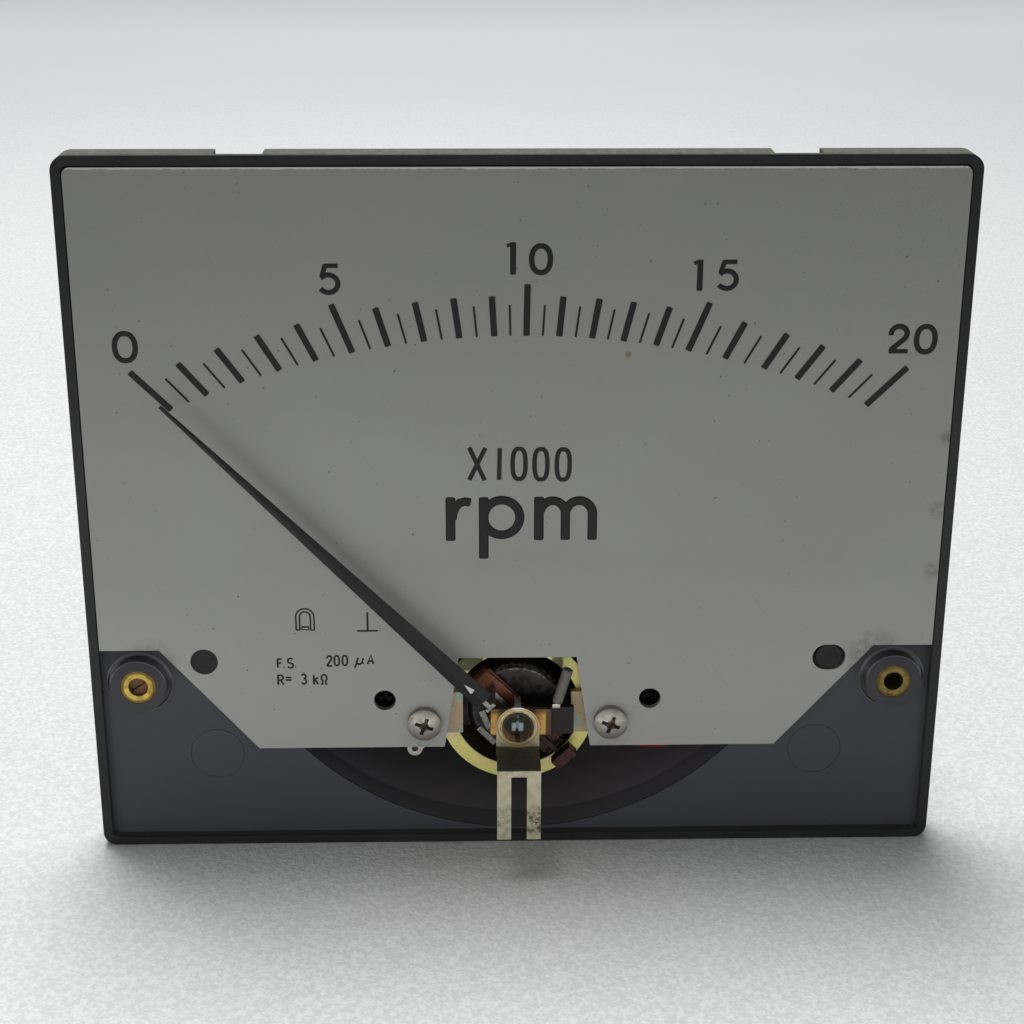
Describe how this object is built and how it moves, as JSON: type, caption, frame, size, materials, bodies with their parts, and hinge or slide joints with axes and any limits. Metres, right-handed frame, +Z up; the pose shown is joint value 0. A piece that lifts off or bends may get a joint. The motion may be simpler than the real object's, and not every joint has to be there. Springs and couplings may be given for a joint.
{
  "type": "panel tachometer",
  "caption": "Square panel meter with its front cover off, scaled in revolutions per minute: a moving-coil movement turns a long pointer over the dial.",
  "frame": {"origin": "on the barrel's axis, in the plane of the flange's back face, which is the face of the panel", "axes": "+Y along the barrel's axis, out of the back; +Z up; the dial faces -Y, and +X is to its right"},
  "size_m": [0.12, 0.0686, 0.1],
  "materials": {
    "black_moulding": "satin",
    "dial_paint": "matte",
    "dial_ink": "matte",
    "insert_brass": "satin",
    "brown_steel": "matte",
    "nickel_steel": "satin",
    "zinc_steel": "satin",
    "plain_brass": "satin",
    "amber_brass": "satin",
    "terminal_brass": "satin",
    "brown_brass": "satin",
    "plated_brass": "satin",
    "tinned_brass": "satin",
    "spring_bronze": "satin",
    "tan_chromate": "satin",
    "yellow_chromate": "satin",
    "magnet_alloy": "gloss",
    "bridge_brown": "satin",
    "dark_steel": "gloss",
    "pivot_steel": "polished",
    "jewel_red": "gloss",
    "grey_sleeving": "satin",
    "plain_aluminium": "satin",
    "black_aluminium": "matte",
    "enamelled_copper": "gloss",
    "resistor_coat": "satin",
    "red_insulation": "satin",
    "black_insulation": "satin"
  },
  "bodies": {
    "meter_body": {"base_case": "black_moulding", "barrel_shell": "black_moulding", "cover_inserts": "insert_brass", "insert_screw": "brown_steel", "dial_plate": "dial_paint", "scale_marks": "dial_ink", "dial_screws": "nickel_steel", "dial_spacers": "plain_brass", "earth_tag": "tinned_brass", "frame_plates": "tan_chromate", "frame_screws": "nickel_steel", "yoke_ring": "yellow_chromate", "core_magnet": "magnet_alloy", "core_keys": "plain_aluminium", "front_bridge": "bridge_brown", "bridge_bush": "amber_brass", "front_jewel_screw": "dark_steel", "front_jewel": "jewel_red", "friction_sleeve": "spring_bronze", "stop_wire": "tinned_brass", "stop_sleeve": "grey_sleeving", "rear_bridge": "bridge_brown", "rear_bridge_screws": "nickel_steel", "rear_jewel_screw": "amber_brass", "rear_jewel": "jewel_red", "rear_lock_nut": "amber_brass", "rear_anchor": "amber_brass", "front_hairspring": "spring_bronze", "rear_hairspring": "spring_bronze", "series_resistor": "resistor_coat", "red_lead": "red_insulation", "black_lead": "black_insulation", "terminal_studs": "terminal_brass", "terminal_tags": "tinned_brass", "terminal_inner_nuts": "terminal_brass", "terminal_washers": "nickel_steel", "terminal_nuts": "terminal_brass", "mounting_studs": "zinc_steel", "mounting_washers": "zinc_steel", "mounting_nuts": "zinc_steel"},
    "moving_coil": {"coil_former": "plain_aluminium", "coil_winding": "enamelled_copper", "front_pivot": "pivot_steel", "rear_pivot": "pivot_steel", "pointer_carrier": "plain_aluminium", "tail_weight": "brown_brass", "side_weights": "plain_aluminium", "pointer": "black_aluminium"},
    "adjuster": {"zero_adjuster": "plated_brass"}
  },
  "joints": [
    {"name": "pointer_swing", "type": "hinge", "parent": "meter_body", "child": "moving_coil", "pos_m": [0, 0, -0.024], "axis": [0, 1, 0], "range_deg": [-5, 94], "stiffness_Nm_per_rad": 0.00002, "deforming": ["front_hairspring", "rear_hairspring"]},
    {"name": "zero_adjust", "type": "hinge", "parent": "meter_body", "child": "adjuster", "pos_m": [0, 0, -0.024], "axis": [0, 1, 0], "range_deg": [-8, 8]}
  ]
}
